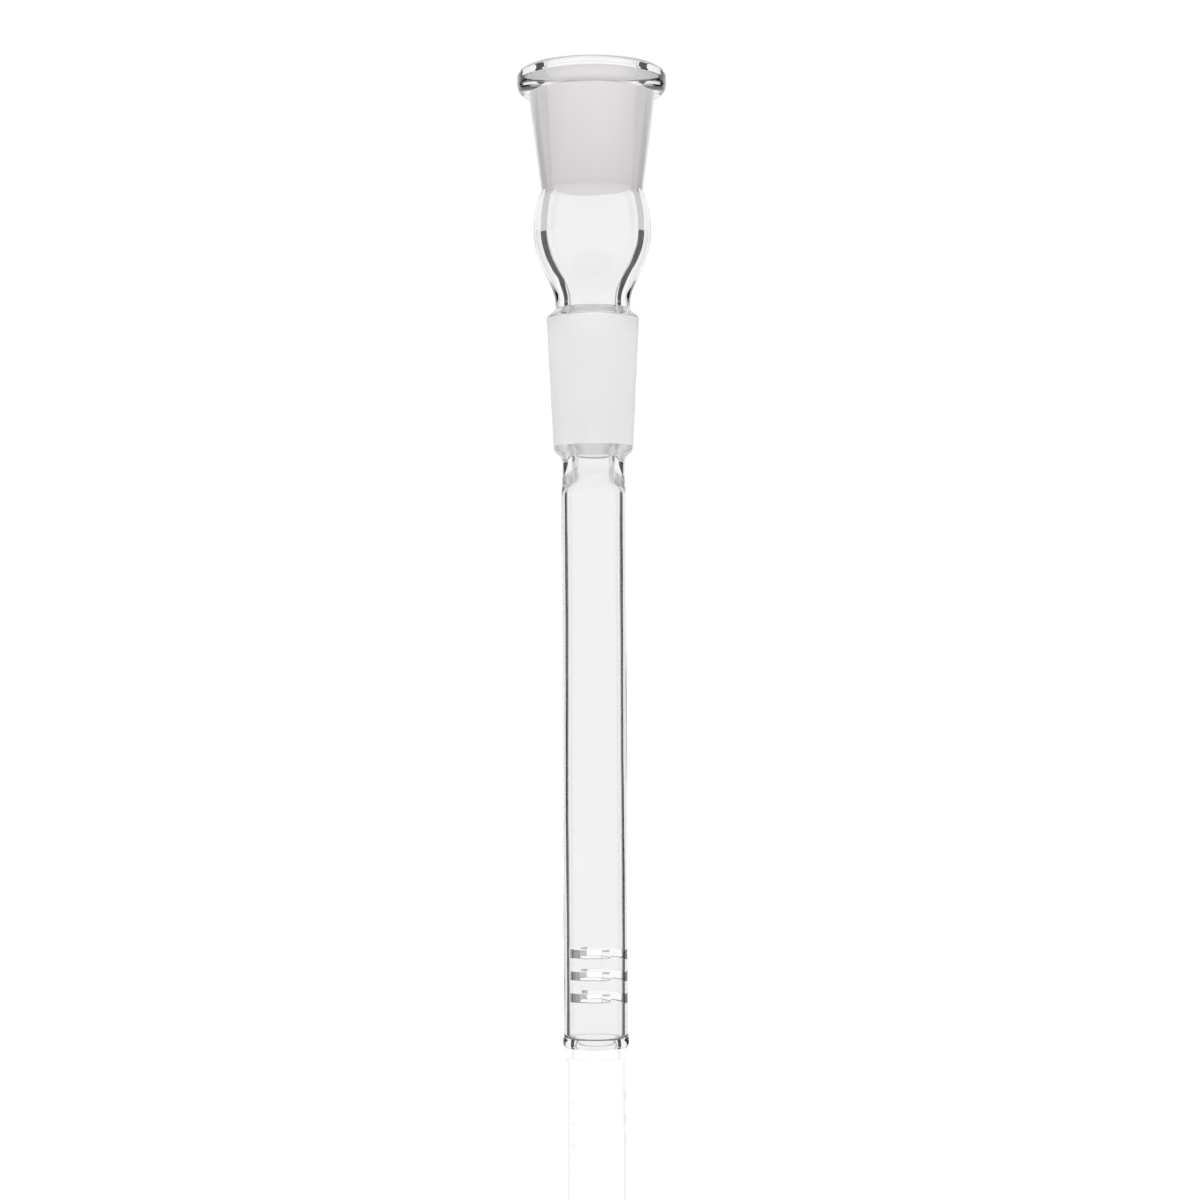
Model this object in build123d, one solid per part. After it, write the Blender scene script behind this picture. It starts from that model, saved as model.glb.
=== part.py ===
"""Diffuser down-tube adapter in clear borosilicate glass, millimetres.

The adapter stands on its foot with its axis on Z and its mouth upwards.  A lampworker makes it
from separate rings of tube, which are fused end to end: turned-in foot, long diffuser tube,
throat, ground cone, neck, bulb, ground socket and rolled rim.  Each ring is one solid here, and
neighbours meet on a flat ring-shaped seam.
"""

import math
import os

from build123d import *

# Taper joint, standard 19 size: both the socket at the top and the cone below it
JOINT_LARGE_DIAMETER = 18.8
JOINT_TAPER = 0.1  # millimetres of diameter for each millimetre of length

# Lengths along the axis, from the foot up to the rim
FOOT_LENGTH = 2.6
TUBE_LENGTH = 108.9
THROAT_LENGTH = 10.0
CONE_LENGTH = 26.0  # ground length
CONE_SHOULDER_LENGTH = 2.3
NECK_LENGTH = 1.0
BULB_LENGTH = 22.7
SOCKET_LENGTH = 19.9
RIM_LENGTH = 5.1

# Long tube
TUBE_DIAMETER = 13.1
TUBE_WALL = 1.1

# Foot: a slight bead outside, a lip turned in, and the flat ring that the adapter stands on
FOOT_BEAD = 0.2  # how far the bead stands out from the tube
FOOT_BEAD_HEIGHT = 1.1
FOOT_LIP = 1.25  # how far the lip stands in from the tube's bore
FOOT_LIP_HEIGHT = 1.2
FOOT_RING_INSET = 0.75  # from the tube's outside to the ring's outer edge
FOOT_RING_WIDTH = 0.7

# Diffuser slots, sawn by a gang of discs on one arbor: the discs sink through the wall, then the
# tube is turned a little on its axis, once from each side
SLOT_ROWS = 3
SLOT_PITCH = 4.4
SLOT_HEIGHT = 1.65
LOWEST_SLOT = 10.4  # middle of the lowest row above the resting surface
SLOT_DEPTH = 1.5  # how far the discs sink into the tube
SAW_RADIUS = 30.0
SLOT_SIDES = (
    # middle of the slots in degrees from +X about +Z, degrees that the tube is turned, height offset
    (-101.0, 4.0, 0.0),
    (57.0, 60.0, -0.6),
)

# Throat between cone and tube
THROAT_BORE = 7.0
THROAT_WALL = 2.95
THROAT_ENTRY_BORE = 7.8  # where the cone's bore runs into it
THROAT_WAIST = 3.0  # height at which the bore is narrowest, below the cone
THROAT_SHOULDER = 3.2  # height of the rounded shoulder under the cone
THROAT_BLEND = 3.0  # height over which the outside runs into the tube

# Cone and neck
CONE_BORE = 10.6
CONE_BLEND = 7.0  # length over which the bore closes at each end of the cone
NECK_BORE = 9.6
NECK_WALL = 2.8

# Bulb
BULB_DIAMETER = 24.0
BULB_WALL = 2.5
BULB_WIDEST = 14.8  # height of the widest place above the bulb's lower seam

# Socket and rim
SOCKET_LOWER_WALL = 2.12
SOCKET_UPPER_WALL = 3.68
RIM_OVERHANG = 2.3  # how far the rim stands out from the socket
RIM_UNDER_ROUND = 2.2
RIM_TOP_ROUND = 1.7
MOUTH_LEAD = 1.3  # radius of the polished lead-in above the ground bore

# How far a blend keeps to its start and end directions, as a share of its height
EVEN_BLEND = 0.5
FLARE_BLEND = 0.4
SHOULDER_BLEND = 0.6
CONE_SHOULDER_BLEND = 0.45
BULB_FOOT_BLEND = 0.27
BULB_BORE_FOOT_BLEND = 0.4
BULB_SWELL_BLEND = 0.5
BULB_HEAD_BLEND = 0.16

# Heights of the seams
TUBE_TOP = FOOT_LENGTH + TUBE_LENGTH
THROAT_TOP = TUBE_TOP + THROAT_LENGTH
CONE_GROUND_TOP = THROAT_TOP + CONE_LENGTH
CONE_TOP = CONE_GROUND_TOP + CONE_SHOULDER_LENGTH
NECK_TOP = CONE_TOP + NECK_LENGTH
BULB_TOP = NECK_TOP + BULB_LENGTH
SOCKET_TOP = BULB_TOP + SOCKET_LENGTH
RIM_TOP = SOCKET_TOP + RIM_LENGTH

# Radii that more than one piece shares
TUBE_RADIUS = TUBE_DIAMETER / 2
TUBE_BORE_RADIUS = TUBE_RADIUS - TUBE_WALL
JOINT_RADIUS = JOINT_LARGE_DIAMETER / 2
CONE_SMALL_RADIUS = JOINT_RADIUS - CONE_LENGTH * JOINT_TAPER / 2
THROAT_ENTRY_RADIUS = THROAT_ENTRY_BORE / 2
NECK_BORE_RADIUS = NECK_BORE / 2
NECK_RADIUS = NECK_BORE_RADIUS + NECK_WALL


def socket_bore_radius(height):
    """Radius of the ground socket bore: full size at its mouth, narrower by the taper below."""
    below_mouth = RIM_TOP - MOUTH_LEAD - height
    return JOINT_RADIUS - below_mouth * JOINT_TAPER / 2


SOCKET_LOWER_BORE = socket_bore_radius(BULB_TOP)
SOCKET_UPPER_BORE = socket_bore_radius(SOCKET_TOP)
SOCKET_LOWER_RADIUS = SOCKET_LOWER_BORE + SOCKET_LOWER_WALL
SOCKET_UPPER_RADIUS = SOCKET_UPPER_BORE + SOCKET_UPPER_WALL


def blend(start, end, start_hold=EVEN_BLEND, end_hold=EVEN_BLEND):
    """S-shaped line between two (radius, height) points, parallel to the axis at both ends."""
    rise = end[1] - start[1]
    return Bezier(start, (start[0], start[1] + rise * start_hold), (end[0], end[1] - rise * end_hold), end)


def turned(outer, inner):
    """Ring of glass between an outer and an inner line, both lists of edges drawn upwards."""
    lower_seam = Line(inner[0] @ 0, outer[0] @ 0)
    upper_seam = Line(inner[-1] @ 1, outer[-1] @ 1)
    section = Plane.XZ * make_face([lower_seam, *outer, upper_seam, *inner])
    return revolve(section, Axis.Z)


def make_foot_rim():
    """Melted end of the tube: a slight bead outside, turned in to a smaller opening."""
    ring_outer = TUBE_RADIUS - FOOT_RING_INSET
    ring_inner = ring_outer - FOOT_RING_WIDTH
    bead = (TUBE_RADIUS + FOOT_BEAD, FOOT_BEAD_HEIGHT)
    lip = (TUBE_BORE_RADIUS - FOOT_LIP, FOOT_LIP_HEIGHT)
    bore = (TUBE_BORE_RADIUS, FOOT_LENGTH)
    outer = [
        Bezier((ring_outer, 0), (bead[0], 0), (bead[0], bead[1] / 2), bead),
        blend(bead, (TUBE_RADIUS, FOOT_LENGTH)),
    ]
    inner = [
        Bezier((ring_inner, 0), (lip[0], 0), (lip[0], lip[1] / 2), lip),
        Bezier(lip, (lip[0], bore[1]), (bore[0], lip[1]), bore),
    ]
    return turned(outer, inner)


def on_circle(radius, direction):
    """Point on a circle round the axis, direction in degrees from +X."""
    turn = math.radians(direction)
    return radius * math.cos(turn), radius * math.sin(turn)


def saw_cut(height, direction, turn):
    """What the disc clears at one slot: itself at both ends of the turn, and the wedge between."""
    reach = TUBE_RADIUS - SLOT_DEPTH + SAW_RADIUS
    ends = (direction - turn / 2, direction + turn / 2)
    discs = [Pos(*on_circle(reach, end), height) * Cylinder(SAW_RADIUS, SLOT_HEIGHT) for end in ends]
    between = Polygon((0, 0), *[on_circle(2 * TUBE_RADIUS, end) for end in ends], align=None)
    wedge = Pos(0, 0, height) * extrude(between, SLOT_HEIGHT / 2, both=True)
    return discs + [wedge]


def make_diffuser_tube():
    """Thin long tube with rows of sawn slots near its foot."""
    tube = turned(
        [Line((TUBE_RADIUS, FOOT_LENGTH), (TUBE_RADIUS, TUBE_TOP))],
        [Line((TUBE_BORE_RADIUS, FOOT_LENGTH), (TUBE_BORE_RADIUS, TUBE_TOP))],
    )
    for row in range(SLOT_ROWS):
        for direction, turn, offset in SLOT_SIDES:
            tube -= saw_cut(LOWEST_SLOT + row * SLOT_PITCH + offset, direction, turn)
    return tube


def make_throat():
    """Thick collar that closes in under the cone and opens again to the bore of the tube."""
    bore_radius = THROAT_BORE / 2
    radius = bore_radius + THROAT_WALL
    tube_blend_top = TUBE_TOP + THROAT_BLEND
    shoulder_foot = THROAT_TOP - THROAT_SHOULDER
    waist = THROAT_TOP - THROAT_WAIST
    outer = [
        blend((TUBE_RADIUS, TUBE_TOP), (radius, tube_blend_top)),
        Line((radius, tube_blend_top), (radius, shoulder_foot)),
        blend((radius, shoulder_foot), (CONE_SMALL_RADIUS, THROAT_TOP), SHOULDER_BLEND, SHOULDER_BLEND),
    ]
    inner = [
        blend((TUBE_BORE_RADIUS, TUBE_TOP), (bore_radius, waist), FLARE_BLEND, FLARE_BLEND),
        blend((bore_radius, waist), (THROAT_ENTRY_RADIUS, THROAT_TOP)),
    ]
    return turned(outer, inner)


def make_ground_cone():
    """Ground cone of the taper joint, with the rounded shoulder that joins it to the neck."""
    bore_radius = CONE_BORE / 2
    lower_blend = THROAT_TOP + CONE_BLEND
    upper_blend = CONE_TOP - CONE_BLEND
    outer = [
        Line((CONE_SMALL_RADIUS, THROAT_TOP), (JOINT_RADIUS, CONE_GROUND_TOP)),
        blend((JOINT_RADIUS, CONE_GROUND_TOP), (NECK_RADIUS, CONE_TOP), CONE_SHOULDER_BLEND, CONE_SHOULDER_BLEND),
    ]
    inner = [
        blend((THROAT_ENTRY_RADIUS, THROAT_TOP), (bore_radius, lower_blend)),
        Line((bore_radius, lower_blend), (bore_radius, upper_blend)),
        blend((bore_radius, upper_blend), (NECK_BORE_RADIUS, CONE_TOP)),
    ]
    return turned(outer, inner)


def make_neck():
    """Short thick waist between cone and bulb."""
    return turned(
        [Line((NECK_RADIUS, CONE_TOP), (NECK_RADIUS, NECK_TOP))],
        [Line((NECK_BORE_RADIUS, CONE_TOP), (NECK_BORE_RADIUS, NECK_TOP))],
    )


def bulb_face(neck_radius, widest_radius, top_radius, foot_blend):
    """One face of the bulb: a long swell from the neck, then a short quick turn to the socket."""
    widest = (widest_radius, NECK_TOP + BULB_WIDEST)
    head = BULB_TOP - widest[1]
    turn_out = (widest_radius - top_radius) * EVEN_BLEND
    return [
        blend((neck_radius, NECK_TOP), widest, foot_blend, BULB_SWELL_BLEND),
        Bezier(
            widest,
            (widest_radius, widest[1] + head * EVEN_BLEND),
            (top_radius + turn_out, BULB_TOP - head * BULB_HEAD_BLEND),
            (top_radius, BULB_TOP),
        ),
    ]


def make_bulb():
    """Blown bulb between neck and socket."""
    radius = BULB_DIAMETER / 2
    return turned(
        bulb_face(NECK_RADIUS, radius, SOCKET_LOWER_RADIUS, BULB_FOOT_BLEND),
        bulb_face(NECK_BORE_RADIUS, radius - BULB_WALL, SOCKET_LOWER_BORE, BULB_BORE_FOOT_BLEND),
    )


def make_ground_socket():
    """Socket of the taper joint: ground bore, plain outside that widens towards the rim."""
    return turned(
        [Line((SOCKET_LOWER_RADIUS, BULB_TOP), (SOCKET_UPPER_RADIUS, SOCKET_TOP))],
        [Line((SOCKET_LOWER_BORE, BULB_TOP), (SOCKET_UPPER_BORE, SOCKET_TOP))],
    )


def make_rolled_rim():
    """Thick rolled rim with rounded edges, and the last ground stretch of the socket bore."""
    radius = SOCKET_UPPER_RADIUS + RIM_OVERHANG
    side_foot = (radius, SOCKET_TOP + RIM_UNDER_ROUND)
    side_head = (radius, RIM_TOP - RIM_TOP_ROUND)
    mouth = (JOINT_RADIUS, RIM_TOP - MOUTH_LEAD)
    outer = [
        Bezier((SOCKET_UPPER_RADIUS, SOCKET_TOP), (radius, SOCKET_TOP), side_foot),
        Line(side_foot, side_head),
        RadiusArc(side_head, (radius - RIM_TOP_ROUND, RIM_TOP), -RIM_TOP_ROUND),
    ]
    inner = [
        Line((SOCKET_UPPER_BORE, SOCKET_TOP), mouth),
        RadiusArc(mouth, (JOINT_RADIUS + MOUTH_LEAD, RIM_TOP), MOUTH_LEAD),
    ]
    return turned(outer, inner)


PIECES = {
    "foot_rim": make_foot_rim,
    "diffuser_tube": make_diffuser_tube,
    "throat": make_throat,
    "ground_cone": make_ground_cone,
    "neck": make_neck,
    "bulb": make_bulb,
    "ground_socket": make_ground_socket,
    "rolled_rim": make_rolled_rim,
}

os.makedirs("parts", exist_ok=True)
for name, make in PIECES.items():
    piece = make()
    piece.label = name
    export_step(piece, f"parts/{name}.step")
    print(f"{name}: {piece.volume:.1f} mm3")
print(f"height {RIM_TOP:.1f} mm")
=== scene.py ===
# %% [markdown]
# # A diffuser down-tube adapter in clear glass
#
# The object is a lampworked laboratory adapter: a ground socket with a rolled rim, a blown bulb,
# a ground cone, a thick throat and a long thin tube with sawn slots near its foot.  Glass has no
# colour of its own to paint, so nearly all of its look comes from three things that this file
# builds in turn: walls of the right thickness, finishes that are either fire-polished or ground,
# and a studio that shows the glass bright in the middle and dark along its bores.

import math

import bpy
import numpy as np
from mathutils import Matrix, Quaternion, Vector


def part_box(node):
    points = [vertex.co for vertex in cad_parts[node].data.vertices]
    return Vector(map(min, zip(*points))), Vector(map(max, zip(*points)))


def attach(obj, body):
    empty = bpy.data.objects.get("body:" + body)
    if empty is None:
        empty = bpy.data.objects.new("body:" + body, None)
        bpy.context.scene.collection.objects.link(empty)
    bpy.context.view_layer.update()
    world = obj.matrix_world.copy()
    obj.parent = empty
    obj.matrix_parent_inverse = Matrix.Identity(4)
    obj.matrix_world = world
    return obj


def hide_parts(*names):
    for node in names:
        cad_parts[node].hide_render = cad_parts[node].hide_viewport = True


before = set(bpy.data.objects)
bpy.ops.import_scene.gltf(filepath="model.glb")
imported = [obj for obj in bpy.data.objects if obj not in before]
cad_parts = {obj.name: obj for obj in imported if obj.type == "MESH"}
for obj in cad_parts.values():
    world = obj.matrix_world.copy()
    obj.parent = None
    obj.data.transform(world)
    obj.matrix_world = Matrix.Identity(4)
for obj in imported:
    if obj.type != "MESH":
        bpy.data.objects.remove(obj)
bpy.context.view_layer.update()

# %% [markdown]
# ## Sizes
#
# Seam heights and outside radii are read from the frame, so every new piece meets its neighbours
# where the design says.  Walls, bores and roundings can't be read from a box, so they are named
# here.  Lengths are in metres.

# %% Sizes
MM = 0.001


def top_of(node):
    """Height of the upper seam of a node."""
    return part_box(node)[1].z


def radius_of(node):
    """Largest radius of a node: half of its box across X."""
    low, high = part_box(node)
    return (high.x - low.x) / 2


FOOT_TOP = top_of("foot_rim")
TUBE_TOP = top_of("diffuser_tube")
THROAT_TOP = top_of("throat")
CONE_TOP = top_of("ground_cone")
NECK_TOP = top_of("neck")
BULB_TOP = top_of("bulb")
SOCKET_TOP = top_of("ground_socket")
RIM_TOP = top_of("rolled_rim")

TUBE_RADIUS = radius_of("diffuser_tube")
CONE_SMALL_RADIUS = radius_of("throat")
JOINT_RADIUS = radius_of("ground_cone")
NECK_RADIUS = radius_of("neck")
BULB_RADIUS = radius_of("bulb")
SOCKET_UPPER_RADIUS = radius_of("ground_socket")
RIM_RADIUS = radius_of("rolled_rim")

TAPER = 0.05  # radius lost per length of a ground joint
TUBE_WALL, NECK_WALL, BULB_WALL, SOCKET_FOOT_WALL = 1.1 * MM, 2.8 * MM, 2.5 * MM, 2.12 * MM
TUBE_BORE = TUBE_RADIUS - TUBE_WALL
THROAT_RADIUS = 6.45 * MM
THROAT_BORE = 3.5 * MM
THROAT_ENTRY = 3.9 * MM
CONE_BORE = 5.3 * MM
NECK_BORE = NECK_RADIUS - NECK_WALL
BULB_BORE = BULB_RADIUS - BULB_WALL
MOUTH_LEAD = 1.3 * MM
CONE_GROUND_TOP = THROAT_TOP + (JOINT_RADIUS - CONE_SMALL_RADIUS) / TAPER


def socket_bore(height):
    """Radius of the ground bore: the joint's radius at its mouth, less the taper below it."""
    return JOINT_RADIUS - (RIM_TOP - MOUTH_LEAD - height) * TAPER


SOCKET_LOWER_RADIUS = socket_bore(BULB_TOP) + SOCKET_FOOT_WALL
print(f"height {RIM_TOP / MM:.1f}, tube {2 * TUBE_RADIUS / MM:.1f}, rim {2 * RIM_RADIUS / MM:.1f} mm")

# %% [markdown]
# ## Curves of the outline
#
# A turned piece is drawn as strokes in the half plane of radius and height.  Most are straight, or
# a blend, which leaves and arrives parallel to the axis the way soft glass does when it is drawn
# down.  A free cubic and a quarter round serve for lips.  A Screw modifier on a drawn profile would
# also do; strokes as functions keep every point tied to a named size.

# %% Strokes
STEP = 0.25 * MM
FINE = 0.08 * MM
ROUND_STEP = 0.12 * MM


def straight(start, end, step=STEP):
    """Points on a line: start + s (end - start), for s from 0 to 1 in equal steps."""
    start, end = np.array(start), np.array(end)
    count = max(2, int(np.linalg.norm(end - start) / step) + 1)
    s = np.linspace(0, 1, count)[:, None]
    return start + s * (end - start)


def cubic(a, b, c, d, step=STEP):
    """Points on a cubic curve: (1-s)^3 a + 3 s (1-s)^2 b + 3 s^2 (1-s) c + s^3 d."""
    a, b, c, d = map(np.array, (a, b, c, d))
    count = max(8, int(np.linalg.norm(d - a) / step) + 1)
    s = np.linspace(0, 1, count)[:, None]
    return (1 - s) ** 3 * a + 3 * s * (1 - s) ** 2 * b + 3 * s**2 * (1 - s) * c + s**3 * d


def blend(start, end, start_hold=0.5, end_hold=0.5, step=STEP):
    """Cubic that is parallel to the axis at both ends, holding each end for a share of the rise."""
    rise = end[1] - start[1]
    leave = start[0], start[1] + rise * start_hold
    arrive = end[0], end[1] - rise * end_hold
    return cubic(start, leave, arrive, end, step)


def quarter(start, end, centre, step=ROUND_STEP):
    """Quarter of an ellipse about centre, from start to end: centre + u cos(s) + v sin(s)."""
    start, end, centre = map(np.array, (start, end, centre))
    s = np.linspace(0, np.pi / 2, max(6, int(np.linalg.norm(end - start) / step)))[:, None]
    return centre + (start - centre) * np.cos(s) + (end - centre) * np.sin(s)


print("points on a straight stroke of 10 mm:", len(straight((0, 0), (0, 10 * MM))))

# %% [markdown]
# ## Turning an outline
#
# A lathe surface has two parameters: the place along the closed outline, and the turn about the
# axis.  The outline runs up the outside, across the upper seam, down the bore and back across
# the lower seam, so each piece is a closed wall and its faces point out of the glass.  Light must
# pass through both faces of a wall, so a single skin would not bend it properly.  A slow wander of
# a few hundredths of a millimetre keeps the walls from looking machined.

# %% Turned pieces
CLEAR, GROUND, GROUND_BORE, SAWN, SEAM = range(5)
SIDES = 224
CREASE = math.radians(50)
WANDER = 0.014 * MM
WANDER_HEIGHTS = (
    *(0, FOOT_TOP, THROAT_TOP - 2 * MM, THROAT_TOP, CONE_TOP),
    *(NECK_TOP + 3 * MM, BULB_TOP - 3 * MM, BULB_TOP, SOCKET_TOP, RIM_TOP),
)
WANDER_SHARE = 0.4, 1, 1, 0, 0, 1, 1, 0, 0, 0.6


def wander(radius, height, turn):
    """Hand-worked unevenness: slow waves round the axis and along it, none on the ground joints.

    The phase follows the radius, so a bore and the outside round it don't move together.
    """
    h, phase = height / MM, radius / MM * 2.1
    waves = (np.sin(2 * turn + 0.071 * h + phase) + 0.6 * np.sin(3 * turn - 0.113 * h + 2 * phase)
             + 0.8 * np.sin(0.19 * h + phase) + 0.4 * np.sin(turn + 0.41 * h + phase))
    return WANDER * waves * np.interp(height, WANDER_HEIGHTS, WANDER_SHARE)


def wrapped_quads(rows, columns):
    """Corner numbers of the quads of a grid that closes on itself both ways."""
    i, j = np.meshgrid(np.arange(rows), np.arange(columns), indexing="ij")
    below, after = (i + 1) % rows, (j + 1) % columns
    corners = i * columns + j, i * columns + after, below * columns + after, below * columns + j
    return np.stack(corners, -1)


def make_mesh(name, points, quads, finishes):
    """Object with smooth faces, sharp edges at creases, and a finish number for each face."""
    mesh = bpy.data.meshes.new(name)
    mesh.from_pydata(points.reshape(-1, 3).tolist(), [], quads.reshape(-1, 4).tolist())
    mesh.polygons.foreach_set("material_index", finishes.ravel().astype(np.int32))
    mesh.polygons.foreach_set("use_smooth", np.ones(len(mesh.polygons), bool))
    mesh.set_sharp_from_angle(angle=CREASE)
    mesh.update()
    piece = bpy.data.objects.new(name, mesh)
    bpy.context.scene.collection.objects.link(piece)
    return piece


def lathe(name, outer, inner):
    """Closed ring of glass: a point (r, z) of the outline goes to (r cos t, r sin t, z).

    outer and inner are lists of (stroke, finish), drawn upwards.  A seam without width is dropped.
    """
    upper_seam = straight(outer[-1][0][-1], inner[-1][0][-1]), SEAM
    lower_seam = straight(inner[0][0][0], outer[0][0][0]), SEAM
    down = [(stroke[::-1], finish) for stroke, finish in reversed(inner)]
    strokes = [*outer, upper_seam, *down, lower_seam]
    strokes = [(stroke, finish) for stroke, finish in strokes if np.ptp(stroke, axis=0).max() > 1e-9]
    outline = np.concatenate([stroke[:-1] for stroke, finish in strokes])
    finishes = np.concatenate([np.full(len(stroke) - 1, finish) for stroke, finish in strokes])
    turn = np.linspace(0, 2 * np.pi, SIDES, endpoint=False)
    radius, height = outline[:, :1], outline[:, 1:]
    r = radius + wander(radius, height, turn)
    points = np.stack([r * np.cos(turn), r * np.sin(turn), np.broadcast_to(height, r.shape)], -1)
    face_finishes = np.broadcast_to(finishes[:, None], r.shape)
    piece = make_mesh(name, points, wrapped_quads(*r.shape), face_finishes)
    print(f"{name}: {len(outline)} outline points, {2 * r.size} triangles")
    return piece


print("finishes:", dict(clear=CLEAR, ground=GROUND, ground_bore_with_painted_light=GROUND_BORE, sawn=SAWN, seam=SEAM))

# %% [markdown]
# ## Foot
#
# The end of the tube is held in the flame until it draws in: a slight bead forms outside, the
# opening gets smaller, and the lowest ring melts flat where it was set down.  A Bevel modifier on
# a plain tube end could round it but not draw it in, so bead and lip are curves of the outline.

# %% Foot rim
RING_OUTER = TUBE_RADIUS - 0.75 * MM
RING_INNER = RING_OUTER - 0.7 * MM
BEAD = (TUBE_RADIUS + 0.2 * MM, 1.1 * MM)
LIP = (TUBE_BORE - 1.25 * MM, 1.2 * MM)

foot_rim = lathe(
    "foot_rim_glass",
    [
        (straight((RING_INNER, 0), (RING_OUTER, 0), FINE), CLEAR),
        (cubic((RING_OUTER, 0), (BEAD[0], 0), (BEAD[0], BEAD[1] / 2), BEAD, FINE), CLEAR),
        (blend(BEAD, (TUBE_RADIUS, FOOT_TOP), step=FINE), CLEAR),
    ],
    [
        (cubic((RING_INNER, 0), (LIP[0], 0), (LIP[0], LIP[1] / 2), LIP, FINE), CLEAR),
        (cubic(LIP, (LIP[0], FOOT_TOP), (TUBE_BORE, LIP[1]), (TUBE_BORE, FOOT_TOP), FINE), CLEAR),
    ],
)

# %% [markdown]
# ## Diffuser tube
#
# The slots are sawn with a disc that sinks into the tube, and the tube is turned a little under
# it, so a slot is longer outside than at the bore.  A boolean cut would leave ragged shading on
# the thin wall.  Instead the tube is made as two grids, outside and bore, with the slots left out.

# %% Slot sizes
SLOT_HEIGHT = 1.65 * MM
SLOT_MIDDLES = np.array([10.4, 14.8, 19.2]) * MM
SAW_RADIUS = 30 * MM
SAW_DEPTH = 1.5 * MM
# Each side: middle of the slots and turn of the tube under the saw, in degrees, and height offset.
SLOT_SIDES = ((-101, 4, 0), (57, 60, -0.6 * MM))
COLUMNS = 240
COLUMN_STEP = 2 * np.pi / COLUMNS
LIP_ROUND = 0.14 * MM
RAGGED = 0.06 * MM


def slot_ends(radius):
    """Angles of both ends of each slot at a radius: half the turn, then to where the circles cross.

    The saw's circle and the tube's circle cross where the law of cosines says, and the lip is added.
    """
    reach = TUBE_RADIUS - SAW_DEPTH + SAW_RADIUS
    crossing = math.acos((reach**2 + radius**2 - SAW_RADIUS**2) / (2 * reach * radius))
    middle, turn = np.radians([side[:2] for side in SLOT_SIDES]).T
    half = turn / 2 + crossing + LIP_ROUND / radius
    return np.stack([middle - half, middle + half], -1)


print("slot ends outside, degrees:", np.degrees(slot_ends(TUBE_RADIUS)).round(1).tolist())

# %% [markdown]
# ## Rows and columns of the tube
#
# Both grids have the same rows and columns.  Rows are bunched so that one falls on each edge of
# every slot, and columns are shifted so that one falls on each end, at either radius.  Much finer
# even rows would come close to the edges too, but with many times the faces.

# %% Rows and columns
EVEN_STEP = 0.9 * MM
NEAR_STEP = 0.14 * MM
NEAR_ROWS = 4  # on each side of an edge


def tube_rows():
    """Heights of the rows: even steps, with closer ones beside each slot edge."""
    half = SLOT_HEIGHT / 2 + LIP_ROUND
    edges = np.sort(np.concatenate([SLOT_MIDDLES - half, SLOT_MIDDLES + half]))
    near = np.concatenate([edges + k * NEAR_STEP for k in range(-NEAR_ROWS, NEAR_ROWS + 1)])
    even = np.arange(FOOT_TOP, TUBE_TOP, EVEN_STEP)
    even = even[np.abs(even[:, None] - edges).min(1) > (NEAR_ROWS + 1) * NEAR_STEP]
    return np.unique(np.round(np.concatenate([near, even, [TUBE_TOP]]), 6)), edges


rows, slot_edges = tube_rows()
edge_rows = np.searchsorted(rows, slot_edges - NEAR_STEP / 2)
columns = np.arange(COLUMNS) * COLUMN_STEP
end_columns = np.round(slot_ends(TUBE_RADIUS) / COLUMN_STEP).astype(int)


def bunched(radius):
    """Angle of each column at a radius, with slot ends exactly on their columns."""
    knots = end_columns.ravel() * COLUMN_STEP
    shifts = slot_ends(radius).ravel() - knots
    return columns + np.interp(columns, knots, shifts, period=2 * np.pi)


print(f"tube grid: {len(rows)} rows, {COLUMNS} columns")

# %% [markdown]
# ## Walls of the tube
#
# Each wall is a cylinder of two parameters, turn and height.  The rows beside the slots are lifted
# by small uneven waves, because a diamond disc chips the edge as it goes through.  A Displace
# modifier would roughen the whole wall, and the slots' edges are the only rough ones here.

# %% Walls of the tube
OFFSET_FADE = 6 * MM


def ragged_edges(angle):
    """Height that each row is moved by: small uneven waves along the slot edges, fading beside them."""
    moved = np.zeros((len(rows), len(angle)))
    for k, row in enumerate(edge_rows):
        wave = (np.sin(9 * angle + 2.3 * k) + 0.7 * np.sin(23 * angle + 4.1 * k)
                + 0.5 * np.sin(41 * angle - 1.7 * k)) / 2.2
        fade = np.clip(1 - np.abs(np.arange(len(rows)) - row) / NEAR_ROWS, 0, 1)[:, None]
        moved += RAGGED * fade * wave
    return moved


def side_offset(angle):
    """Height offset of the slots round the tube: each side's own, and a smooth change between them."""
    middle, _, offset = np.array(SLOT_SIDES).T
    ends = slot_ends(TUBE_RADIUS)
    knots = np.concatenate([ends[:, 0], np.radians(middle), ends[:, 1]])
    return np.interp(angle, knots, np.tile(offset, 3), period=2 * np.pi)


def tube_wall(radius):
    """Grid of one face of the tube: (r cos t, r sin t, z), with bunched columns and ragged edges."""
    angle = bunched(radius)[None, :]
    fade_heights = FOOT_TOP, slot_edges[0], slot_edges[-1], slot_edges[-1] + OFFSET_FADE
    near_slots = np.interp(rows, fade_heights, (0, 1, 1, 0))
    height = rows[:, None] + ragged_edges(angle[0]) + near_slots[:, None] * side_offset(angle)
    r = radius + wander(radius, height, angle)
    return np.stack([r * np.cos(angle), r * np.sin(angle), height], -1)


def slot_cells():
    """True for each grid cell that a slot leaves open."""
    open_cells = np.zeros((len(rows) - 1, COLUMNS), bool)
    for lower, upper in edge_rows.reshape(-1, 2):
        for first, last in end_columns:
            open_cells[lower:upper, np.arange(first, last) % COLUMNS] = True
    return open_cells


outside, bore = tube_wall(TUBE_RADIUS), tube_wall(TUBE_BORE)
open_cells = slot_cells()
print("cells left open by the slots:", int(open_cells.sum()))

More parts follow.
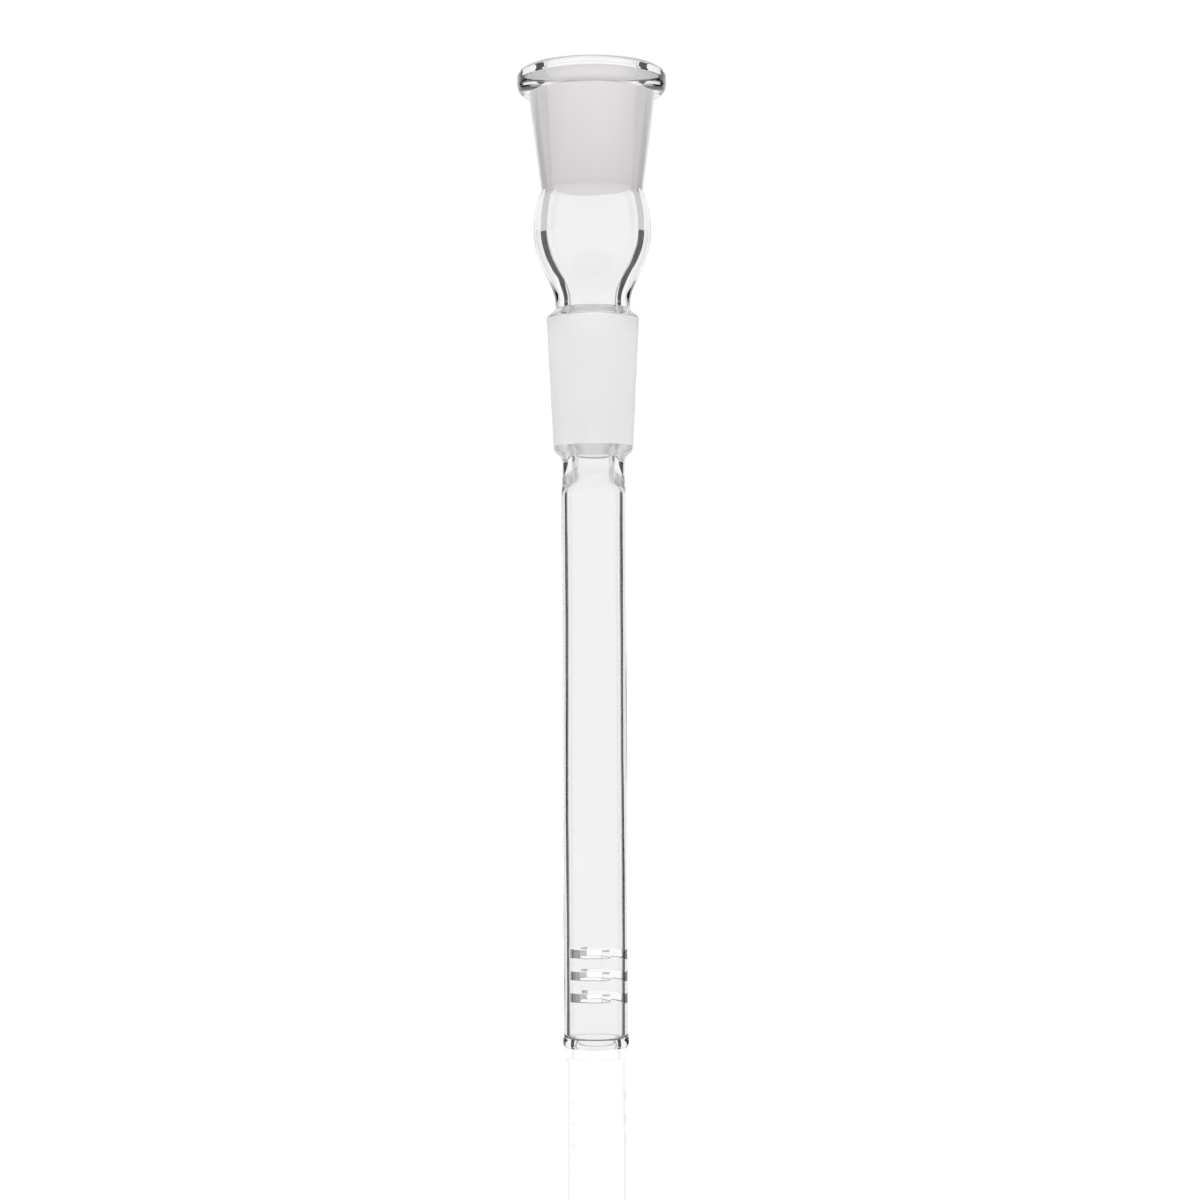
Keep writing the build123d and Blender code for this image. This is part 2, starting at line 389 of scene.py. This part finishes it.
# %% [markdown]
# ## Slot collars
#
# A collar is a surface of two parameters, round the slot and through the wall.  It closes the hole
# between outside and bore.  Its middle is the sawn face, and its two lips are rounded, because the
# flame that closes the foot also melts the sharp edges a little.  A Bevel modifier could round a
# cut edge as well, but it tangles where the edge is ragged.

# %% Slot collars
PROFILE_TURN = np.radians([0, 22.5, 45, 67.5, 90])


def collar_profile():
    """How far the collar stands into the slot, and how deep in the wall, from outside to bore."""
    lip_in, lip_down = LIP_ROUND * np.sin(PROFILE_TURN), LIP_ROUND * (1 - np.cos(PROFILE_TURN))
    wall = TUBE_RADIUS - TUBE_BORE
    inward = np.concatenate([lip_in, lip_in[::-1]])
    depth = np.concatenate([lip_down, wall - lip_down[::-1]]) / wall
    finish = np.where(np.arange(len(inward) - 1) == len(lip_in) - 1, SAWN, CLEAR)
    return inward[1:-1, None], depth[1:-1, None], finish


def slot_outline(lower, upper, first, last):
    """Rows and columns of the grid points round a slot, and the way into it, as (along, up)."""
    across, rise = np.arange(first, last), np.arange(lower, upper)
    row = [np.full(len(across), lower), rise, np.full(len(across), upper), rise[::-1] + 1]
    column = [across, np.full(len(rise), last), across[::-1] + 1, np.full(len(rise), first)]
    row, column = np.concatenate(row), np.concatenate(column)
    along = (column == first).astype(float) - (column == last)
    up = (row == lower).astype(float) - (row == upper)
    return row, column % COLUMNS, along, up


def slot_collar(row, column, along, up):
    """Points of the collar: outside point to bore point, pushed into the slot by the profile."""
    start, end = outside[row, column], bore[row, column]
    angle = np.arctan2(start[:, 1], start[:, 0])
    sideways = np.stack([-np.sin(angle), np.cos(angle), np.zeros_like(angle)], -1)
    into = along[:, None] * sideways + up[:, None] * np.array([0, 0, 1.0])
    inward, depth, _ = collar_profile()
    return start + depth[..., None] * (end - start) + inward[..., None] * into


print("points through the wall on a collar:", len(collar_profile()[0]) + 2)

# %% [markdown]
# ## Assemble the tube
#
# Walls, seams and collars share their corner points, so the tube is one closed mesh.  Points inside
# the slots belong to no face and are dropped.  The right ends of the near slots were melted almost
# clear, so only a streak by their upper edge stays matt.

# %% Assemble the tube
MATT_ROWS = 4  # rows under the upper edge of a near slot that keep their sawn face at its right end


def make_tube():
    """Joins both walls, the two seams and the collars into one closed mesh."""
    size = len(rows) * COLUMNS
    wall = wrapped_quads(len(rows), COLUMNS)[:-1][~open_cells]
    j = np.arange(COLUMNS)
    after = (j + 1) % COLUMNS
    top = (len(rows) - 1) * COLUMNS
    upper = np.stack([top + j, top + after, size + top + after, size + top + j], -1)
    lower = np.stack([size + j, size + after, after, j], -1)
    points = [outside.reshape(-1, 3), bore.reshape(-1, 3)]
    quads = [wall, size + wall[:, ::-1], upper, lower]
    finishes = [np.full(len(wall) * 2, CLEAR), np.full(len(upper) * 2, SEAM)]
    count = 2 * size
    _, _, profile_finish = collar_profile()
    for low, high in edge_rows.reshape(-1, 2):
        for side, (first, last) in enumerate(end_columns):
            row, column, along, up = slot_outline(low, high, first, last)
            rings = slot_collar(row, column, along, up)
            number = np.arange(rings.shape[0] * len(row)).reshape(rings.shape[0], -1) + count
            number = np.vstack([row * COLUMNS + column, number, size + row * COLUMNS + column])
            nxt = np.roll(number, -1, axis=1)
            quads.append(np.stack([number[:-1], nxt[:-1], nxt[1:], number[1:]], -1).reshape(-1, 4))
            melted = (along < 0) & (row < high - MATT_ROWS) & (side == 0)
            finishes.append(np.where(melted, CLEAR, profile_finish[:, None]).ravel())
            points.append(rings.reshape(-1, 3))
            count += rings.shape[0] * len(row)
    used, quads = np.unique(np.concatenate(quads), return_inverse=True)
    points, finishes = np.concatenate(points)[used], np.concatenate(finishes)
    return make_mesh("diffuser_tube_glass", points, quads, finishes)


diffuser_tube = make_tube()
print("diffuser_tube_glass:", 2 * len(diffuser_tube.data.polygons), "triangles")

# %% [markdown]
# ## Throat
#
# The throat is where the tube was sealed into the cone: its wall is thick and its bore narrow.
# Below the seal the wall thins quickly, which makes the bright ring that is seen there.  Solidify
# would give a single skin an even wall; with an outline of its own the bore can close in.

# %% Throat
TUBE_BLEND_TOP = TUBE_TOP + 3 * MM
SHOULDER_LOW = THROAT_RADIUS, THROAT_TOP - 3.2 * MM
THROAT_WAIST = THROAT_TOP - 3 * MM

throat = lathe(
    "throat_glass",
    [
        (blend((TUBE_RADIUS, TUBE_TOP), (THROAT_RADIUS, TUBE_BLEND_TOP)), CLEAR),
        (straight((THROAT_RADIUS, TUBE_BLEND_TOP), SHOULDER_LOW), CLEAR),
        (blend(SHOULDER_LOW, (CONE_SMALL_RADIUS, THROAT_TOP), 0.6, 0.6, FINE), CLEAR),
    ],
    [
        (blend((TUBE_BORE, TUBE_TOP), (THROAT_BORE, THROAT_WAIST), 0.4, 0.4), CLEAR),
        (blend((THROAT_BORE, THROAT_WAIST), (THROAT_ENTRY, THROAT_TOP)), CLEAR),
    ],
)

# %% [markdown]
# ## Ground cone
#
# The cone is ground outside to the standard taper, and ends in a rounded shoulder that is left
# clear.  Its bore swells a little in the middle, where the blank was blown.  A cone primitive has
# the taper too, but one outline with a finish for each stroke also carries the clear shoulder.

# %% Ground cone
CONE_BORE_LOW = THROAT_TOP + 7 * MM
CONE_BORE_HIGH = CONE_TOP - 7 * MM

ground_cone = lathe(
    "ground_cone_glass",
    [
        (straight((CONE_SMALL_RADIUS, THROAT_TOP), (JOINT_RADIUS, CONE_GROUND_TOP)), GROUND),
        (blend((JOINT_RADIUS, CONE_GROUND_TOP), (NECK_RADIUS, CONE_TOP), 0.45, 0.45, FINE), CLEAR),
    ],
    [
        (blend((THROAT_ENTRY, THROAT_TOP), (CONE_BORE, CONE_BORE_LOW)), CLEAR),
        (straight((CONE_BORE, CONE_BORE_LOW), (CONE_BORE, CONE_BORE_HIGH)), CLEAR),
        (blend((CONE_BORE, CONE_BORE_HIGH), (NECK_BORE, CONE_TOP)), CLEAR),
    ],
)

# %% [markdown]
# ## Neck
#
# A short thick waist, where the glass was gathered before the bulb was blown.  Two cylinders would
# do; turned like its neighbours, it has the same number of sides, and the shading runs on.

# %% Neck
neck = lathe(
    "neck_glass",
    [(straight((NECK_RADIUS, CONE_TOP), (NECK_RADIUS, NECK_TOP)), CLEAR)],
    [(straight((NECK_BORE, CONE_TOP), (NECK_BORE, NECK_TOP)), CLEAR)],
)

# %% [markdown]
# ## Bulb
#
# The bulb swells slowly from the neck and turns quickly into the socket.  Its bore has the same
# kind of face, held longer at the neck, so the wall is thick at the foot and thin at the waist.
# A stretched sphere would meet the neck with a kink, and a blend leaves it smoothly.

# %% Bulb
WIDEST = NECK_TOP + 14.8 * MM
HEAD = BULB_TOP - WIDEST
FOOT_HOLD, BORE_FOOT_HOLD = 0.27, 0.4


def bulb_face(neck_radius, widest_radius, top_radius, foot_hold):
    """Long swell from the neck, then a quick turn into the socket, as two cubics."""
    swell = blend((neck_radius, NECK_TOP), (widest_radius, WIDEST), foot_hold, 0.5)
    leave = widest_radius, WIDEST + HEAD * 0.5
    shoulder = (top_radius + widest_radius) / 2, BULB_TOP - HEAD * 0.16
    closing = cubic((widest_radius, WIDEST), leave, shoulder, (top_radius, BULB_TOP))
    return [(swell, CLEAR), (closing, CLEAR)]


bulb = lathe(
    "bulb_glass",
    bulb_face(NECK_RADIUS, BULB_RADIUS, SOCKET_LOWER_RADIUS, FOOT_HOLD),
    bulb_face(NECK_BORE, BULB_BORE, socket_bore(BULB_TOP), BORE_FOOT_HOLD),
)

# %% [markdown]
# ## Ground socket
#
# The socket is clear outside and ground inside, to the same taper as the cone.  A matt sleeve laid
# into a clear tube would bend the light once too often, so the bore's own faces are matt.

# %% Ground socket
SOCKET_FOOT = socket_bore(BULB_TOP), BULB_TOP
SOCKET_HEAD = socket_bore(SOCKET_TOP), SOCKET_TOP

ground_socket = lathe(
    "ground_socket_glass",
    [(straight((SOCKET_LOWER_RADIUS, BULB_TOP), (SOCKET_UPPER_RADIUS, SOCKET_TOP)), CLEAR)],
    [(straight(SOCKET_FOOT, SOCKET_HEAD), GROUND_BORE)],
)

# %% [markdown]
# ## Rolled rim
#
# The rim is a thick roll: a full round below, a short side, a smaller round at the top, and a
# polished lead-in to the ground bore.  A torus round the mouth would run into the wall; an outline
# that goes round the roll keeps all of the glass in one closed piece.

# %% Rim
UNDER_ROUND = 2.2 * MM
TOP_ROUND = 1.7 * MM
CROWN = RIM_RADIUS - TOP_ROUND
MOUTH = JOINT_RADIUS + MOUTH_LEAD
RIM_SIDE_LOW = SOCKET_TOP + UNDER_ROUND
RIM_SIDE_HIGH = RIM_TOP - TOP_ROUND
MOUTH_LOW = RIM_TOP - MOUTH_LEAD


def under_roll(start, corner, end):
    """Parabola that leaves start towards corner and reaches end from it."""
    start, corner, end = map(np.array, (start, corner, end))
    return cubic(start, start + (corner - start) * 2 / 3, end + (corner - end) * 2 / 3, end, FINE)


UNDER_START = SOCKET_UPPER_RADIUS, SOCKET_TOP
UNDER_END = RIM_RADIUS, RIM_SIDE_LOW

rolled_rim = lathe(
    "rolled_rim_glass",
    [
        (under_roll(UNDER_START, (RIM_RADIUS, SOCKET_TOP), UNDER_END), CLEAR),
        (straight(UNDER_END, (RIM_RADIUS, RIM_SIDE_HIGH)), CLEAR),
        (quarter((RIM_RADIUS, RIM_SIDE_HIGH), (CROWN, RIM_TOP), (CROWN, RIM_SIDE_HIGH)), CLEAR),
        (straight((CROWN, RIM_TOP), (MOUTH, RIM_TOP)), CLEAR),
    ],
    [
        (straight(SOCKET_HEAD, (JOINT_RADIUS, MOUTH_LOW)), GROUND_BORE),
        (quarter((JOINT_RADIUS, MOUTH_LOW), (MOUTH, RIM_TOP), (MOUTH, MOUTH_LOW)), CLEAR),
    ],
)

# %% [markdown]
# ## Node helpers
#
# The finishes are procedural: noise on object coordinates, brought to the range that a socket
# wants.  Painted textures would need the pieces unwrapped, and glass is turned and looked through
# from every side.  Three small functions keep the node trees readable.

# %% Node helpers
def new_group(name, inputs, outputs):
    """Node group with named inputs and outputs, and object coordinates to work from."""
    group = bpy.data.node_groups.new(name, "ShaderNodeTree")
    for labels, way in ((inputs, "INPUT"), (outputs, "OUTPUT")):
        for label in labels:
            group.interface.new_socket(label, in_out=way, socket_type="NodeSocketFloat")
    place = group.nodes.new("ShaderNodeTexCoord").outputs["Object"]
    ins, outs = group.nodes.new("NodeGroupInput").outputs, group.nodes.new("NodeGroupOutput").inputs
    return group, place, ins, outs


def noise(tree, place, scale, detail=3.0, stretch=(1, 1, 1)):
    """Noise value from 0 to 1; stretch squeezes the pattern along each axis."""
    mapping = tree.nodes.new("ShaderNodeMapping")
    mapping.inputs["Scale"].default_value = stretch
    tree.links.new(place, mapping.inputs["Vector"])
    node = tree.nodes.new("ShaderNodeTexNoise")
    node.inputs["Scale"].default_value = scale
    node.inputs["Detail"].default_value = detail
    tree.links.new(mapping.outputs[0], node.inputs["Vector"])
    return node.outputs[0]


def remap(tree, value, low, high, from_low=0.3, from_high=0.7):
    """Value brought from one range to another, clamped.  Each end is a number or a socket."""
    node = tree.nodes.new("ShaderNodeMapRange")
    labels = "From Min", "From Max", "To Min", "To Max"
    for label, end in zip(labels, (from_low, from_high, low, high)):
        if isinstance(end, bpy.types.NodeSocket):
            tree.links.new(end, node.inputs[label])
        else:
            node.inputs[label].default_value = end
    tree.links.new(value, node.inputs["Value"])
    return node.outputs[0]


# %% [markdown]
# ## Shared effects
#
# Two effects are shared by the materials and kept as node groups.  "Drawn surface" gives the slow
# vertical unevenness of tube that was drawn and blown.  "Grit" gives the fine, even tooth that
# grinding leaves.  Each material sets how smooth and how rough it gets, so a coarse and a fine
# grind share one group.  Both read object coordinates, so the mesh doesn't matter to them.

# %% Shared effects
DRAWN_STRETCH = (1, 1, 0.12)
GRIT_STRETCH = (1, 1, 0.35)

GRIND = ["Smoothest", "Roughest"]

drawn, place, ins, outs = new_group("drawn surface", GRIND, ["Height", "Roughness"])
smear = noise(drawn, place, 90, 4)
drawn.links.new(noise(drawn, place, 260, 2, DRAWN_STRETCH), outs["Height"])
drawn.links.new(remap(drawn, smear, ins[0], ins[1], 0.45, 0.75), outs["Roughness"])

grit, place, ins, outs = new_group("grit", GRIND, ["Height", "Roughness", "Tone"])
patches = noise(grit, place, 700, 4, GRIT_STRETCH)
grit.links.new(noise(grit, place, 5200, 2), outs["Height"])
grit.links.new(remap(grit, patches, ins[0], ins[1]), outs["Roughness"])
grit.links.new(remap(grit, noise(grit, place, 1500, 3), 0.93, 0.99), outs["Tone"])
print("groups:", [group.name for group in bpy.data.node_groups])

# %% [markdown]
# ## Glass
#
# Fire-polished glass transmits everything and is tinted very slightly.  Ground glass is part
# transmission and part matt white.  The bore of the socket is ground finer than the cone, and it is
# always seen through the clear wall round it, which keeps the lamps' light off it.  Its own, milkier
# and lighter mix is partly that finer grind and partly painted light for the missing lamp light.
# A fused seam has no face on the real object, so its two ring faces are fully see-through.  Glass
# and matt shaders could be mixed by hand; one Principled shader holds both and is carried whole
# into other programs.

# %% Glass materials
GLASS_IOR = 1.474


def new_glass(name):
    """Material with a fully transmitting surface; returns it with its nodes to be linked."""
    material = bpy.data.materials.new(name)
    material.use_nodes = True
    shader = material.node_tree.nodes["Principled BSDF"]
    shader.inputs["IOR"].default_value = GLASS_IOR
    shader.inputs["Transmission Weight"].default_value = 1.0
    return material, material.node_tree, shader


def use_effect(tree, shader, effect, grind, strength, depth):
    """Adds a shared effect set to a grind: its height through a bump, its roughness straight in."""
    node = tree.nodes.new("ShaderNodeGroup")
    node.node_tree = effect
    node.inputs["Smoothest"].default_value, node.inputs["Roughest"].default_value = grind
    bump = tree.nodes.new("ShaderNodeBump")
    bump.inputs["Strength"].default_value = strength
    bump.inputs["Distance"].default_value = depth
    tree.links.new(node.outputs["Height"], bump.inputs["Height"])
    tree.links.new(bump.outputs["Normal"], shader.inputs["Normal"])
    tree.links.new(node.outputs["Roughness"], shader.inputs["Roughness"])
    return node


DRAWN_DEPTH, GRIT_DEPTH, SAWN_DEPTH = 0.02 * MM, 0.02 * MM, 0.03 * MM
POLISHED, COARSE_GRIND, FINE_GRIND = (0.0, 0.02), (0.82, 0.95), (0.42, 0.54)

clear_glass, tree, shader = new_glass("clear borosilicate glass")
shader.inputs["Base Color"].default_value = (0.937, 0.934, 0.936, 1)
use_effect(tree, shader, drawn, POLISHED, 0.05, DRAWN_DEPTH)


def new_ground_glass(name, transmission, grind, dark, light):
    """Matt glass with the grit effect, its tint varying at random between a darker and a lighter tone.
    """
    material, tree, shader = new_glass(name)
    shader.inputs["Transmission Weight"].default_value = transmission
    node = use_effect(tree, shader, grit, grind, 0.3, GRIT_DEPTH)
    tint = tree.nodes.new("ShaderNodeMix")
    tint.data_type = "RGBA"
    tint.inputs["A"].default_value = dark
    tint.inputs["B"].default_value = light
    tree.links.new(node.outputs["Tone"], tint.inputs["Factor"])
    tree.links.new(tint.outputs["Result"], shader.inputs["Base Color"])
    return material


CONE_DARK, CONE_LIGHT = (0.93, 0.922, 0.925, 1), (0.96, 0.952, 0.955, 1)
# The bore's near-white tones and low transmission are partly painted light, standing in for the lamp
# light that the clear wall keeps off the bore.
BORE_DARK, BORE_LIGHT = (0.97, 0.935, 0.945, 1), (1.0, 0.967, 0.975, 1)
ground_glass = new_ground_glass("ground glass", 0.6, COARSE_GRIND, CONE_DARK, CONE_LIGHT)
ground_bore_with_painted_light = new_ground_glass("ground bore with painted light", 0.3, FINE_GRIND, BORE_DARK, BORE_LIGHT)

sawn_glass, tree, shader = new_glass("sawn glass")
shader.inputs["Base Color"].default_value = (0.7, 0.67, 0.68, 1)
shader.inputs["Transmission Weight"].default_value = 0.85
use_effect(tree, shader, grit, COARSE_GRIND, 0.4, SAWN_DEPTH)

fused_seam, tree, shader = new_glass("fused seam")
shader.inputs["Alpha"].default_value = 0.0
FINISHES = clear_glass, ground_glass, ground_bore_with_painted_light, sawn_glass, fused_seam
print("materials:", [material.name for material in FINISHES])

# %% [markdown]
# ## Put the pieces in the frame
#
# Every piece stands for one node of the design and rides on the only body.  They could be joined
# into one object, but apart each can be found, hidden or used again.  All pieces carry the same
# list of finishes, in the order of the numbers given to their faces.

# %% Attach
PIECES = {
    "foot_rim": (foot_rim, "clear_glass"),
    "diffuser_tube": (diffuser_tube, "clear_glass"),
    "throat": (throat, "clear_glass"),
    "ground_cone": (ground_cone, "ground_glass"),
    "neck": (neck, "clear_glass"),
    "bulb": (bulb, "clear_glass"),
    "ground_socket": (ground_socket, "ground_glass"),
    "rolled_rim": (rolled_rim, "clear_glass"),
}
for node, (piece, slot) in PIECES.items():
    for material in FINISHES:
        piece.data.materials.append(material)
    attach(piece, "root")
    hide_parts(node)
print("attached:", ", ".join(PIECES))

# %% [markdown]
# ## Camera
#
# The camera looks at the adapter from a little over half a metre away, slightly upwards.  From much
# further away the rings of the rim and the foot would close to lines.

# %% Camera
CAMERA_PLACE = Vector((1.2 * MM, -531 * MM, 74.6 * MM))
TILT_UP = math.radians(1.691)
ROLL = math.radians(-0.27)

camera = bpy.data.objects.new("camera", bpy.data.cameras.new("camera"))
camera.data.lens = 78.5
camera.data.sensor_width = 36
camera.location = CAMERA_PLACE
camera.rotation_mode = "QUATERNION"
level = Quaternion((1, 0, 0), math.pi / 2 + TILT_UP)
camera.rotation_quaternion = level @ Quaternion((0, 0, 1), ROLL)
bpy.context.scene.collection.objects.link(camera)
bpy.context.scene.camera = camera
print(f"camera {-CAMERA_PLACE.y / MM:.0f} mm in front, {CAMERA_PLACE.z / MM:.1f} mm high")

# %% [markdown]
# ## Studio
#
# Clear glass is shown best against a lit backdrop of limited width.  Rays that pass nearly
# straight through the walls reach the backdrop and stay bright; rays that the bore bends
# strongly miss it and fall on the dim room, and these draw the dark lines.  In a room that is white
# all round, the glass would nearly vanish.  The backdrop hangs from the camera, so it is behind the
# adapter from every side.

# %% Backdrop
def glowing(name, color, strength):
    """Material that only shines."""
    material = bpy.data.materials.new(name)
    material.use_nodes = True
    shader = material.node_tree.nodes["Principled BSDF"]
    shader.inputs["Base Color"].default_value = (0, 0, 0, 1)
    shader.inputs["Specular IOR Level"].default_value = 0
    shader.inputs["Emission Color"].default_value = (*color, 1)
    shader.inputs["Emission Strength"].default_value = strength
    return material


def flat_panel(name, width, height, material):
    """Rectangle in its own XY plane, centred, facing +Z."""
    x, y = width / 2, height / 2
    mesh = bpy.data.meshes.new(name)
    mesh.from_pydata([(-x, -y, 0), (x, -y, 0), (x, y, 0), (-x, y, 0)], [], [(0, 1, 2, 3)])
    mesh.materials.append(material)
    panel = bpy.data.objects.new(name, mesh)
    bpy.context.scene.collection.objects.link(panel)
    return panel


BACKDROP_BEHIND = 1.15
BACKDROP_HALF = 0.43

backdrop = flat_panel("backdrop", 2 * BACKDROP_HALF, 1.0, glowing("lit backdrop", (1, 1, 1), 1.02))
backdrop.parent = camera
backdrop.location = (0, 0, -BACKDROP_BEHIND)
print(f"backdrop {BACKDROP_BEHIND} m from the camera, {2 * BACKDROP_HALF} m wide")

# %% [markdown]
# ## Side cloths
#
# Black cloth beside the lower part of the backdrop makes the lines of the lower bulb and the tube
# nearly black.  A grey veil above it keeps the lines of the upper bulb light.  A darker room would
# draw the lines too, but it would also dim the ground faces.

# %% Side cloths
FLAG_END = (0.75, -0.94)
FLAG_LOW, FLAG_HIGH, VEIL_HIGH = -0.6, 0.17, 0.75


def side_cloth(name, side, low, high, material):
    """Upright cloth beside the backdrop, from its edge towards the camera, between two heights."""
    start, end = Vector((BACKDROP_HALF, -BACKDROP_BEHIND)), Vector(FLAG_END)
    cloth = flat_panel(name, (end - start).length, high - low, material)
    cloth.parent = camera
    cloth.location = (side * (start.x + end.x) / 2, (low + high) / 2, (start.y + end.y) / 2)
    cloth.rotation_euler = (0, -side * math.atan2(end.y - start.y, end.x - start.x), 0)


black_cloth = glowing("black cloth", (1, 1, 1), 0.01)
grey_veil = glowing("grey veil", (1, 0.99, 0.99), 0.62)
for side in (-1, 1):
    side_cloth("flag", side, FLAG_LOW, FLAG_HIGH, black_cloth)
    side_cloth("veil", side, FLAG_HIGH, VEIL_HIGH, grey_veil)
print("side cloths from", FLAG_LOW, "to", VEIL_HIGH, "m")

# %% [markdown]
# ## Floor
#
# The floor looks plain white with a faint reflection.  A white floor would also light the glass
# from below and wash out the dark lines near the foot, so light that doesn't come straight to the
# camera meets a mirror instead, as on polished acrylic seen at a low angle.

# %% Floor
floor_material = bpy.data.materials.new("white gloss")
floor_material.use_nodes = True
tree = floor_material.node_tree
shader = tree.nodes["Principled BSDF"]
shader.inputs["Metallic"].default_value = 1.0
shader.inputs["Roughness"].default_value = 0.03
shader.inputs["Emission Color"].default_value = (1, 1, 1, 1)
straight_on = tree.nodes.new("ShaderNodeLightPath").outputs["Is Camera Ray"]
tree.links.new(remap(tree, straight_on, 0.02, 0.82, 0, 1), shader.inputs["Emission Strength"])
tree.links.new(remap(tree, straight_on, 0.95, 0.2, 0, 1), shader.inputs["Base Color"])
flat_panel("floor", 6, 6, floor_material)
print("floor: 6 m square")

# %% [markdown]
# ## Room and lamps
#
# The room is white at eye level and greyer overhead.  Light that a matt surface scatters meets a
# brighter room, so the ground faces glow softly while the clear glass keeps its contrast.  Two large
# round lamps light the matt faces from above and from the camera's side.

# %% Room and lamps
MATT_LIFT = 1.7
world = bpy.data.worlds.new("room")
world.use_nodes = True
tree = world.node_tree
direction = tree.nodes.new("ShaderNodeTexCoord").outputs["Generated"]
parts = tree.nodes.new("ShaderNodeSeparateXYZ")
tree.links.new(direction, parts.inputs[0])
shade = remap(tree, parts.outputs["Z"], 0.95, 0.45, 0.5, 0.85)
scattered = tree.nodes.new("ShaderNodeLightPath").outputs["Diffuse Depth"]
lift = remap(tree, scattered, 1.0, MATT_LIFT, 0, 1)
background = tree.nodes["Background"]
tree.links.new(shade, background.inputs["Color"])
tree.links.new(lift, background.inputs["Strength"])
bpy.context.scene.world = world


def soft_light(name, size, energy):
    """Large round area light that lights matt surfaces but leaves no spot in clear glass."""
    light = bpy.data.objects.new(name, bpy.data.lights.new(name, "AREA"))
    light.data.shape = "DISK"
    light.data.size = size
    light.data.energy = energy
    light.visible_glossy = False
    light.visible_transmission = False
    bpy.context.scene.collection.objects.link(light)
    return light


soft_light("top light", 1.0, 4).location = (0, -0.4, 1.0)
front_light = soft_light("front light", 0.8, 0.7)
front_light.parent = camera
front_light.location = (0, 0.1, 0.15)

# %% [markdown]
# ## Light paths
#
# A ray through the adapter crosses at least four glass faces and is often thrown back inside a
# wall, so it needs many bounces before it may be given up.  The Standard view keeps the white of
# the floor white.

# %% Light paths
bpy.context.scene.view_settings.view_transform = "Standard"
cycles = bpy.context.scene.cycles
cycles.max_bounces = 32
cycles.transmission_bounces = 32
cycles.transparent_max_bounces = 64
cycles.sample_clamp_indirect = 4
print("bounces:", cycles.max_bounces)
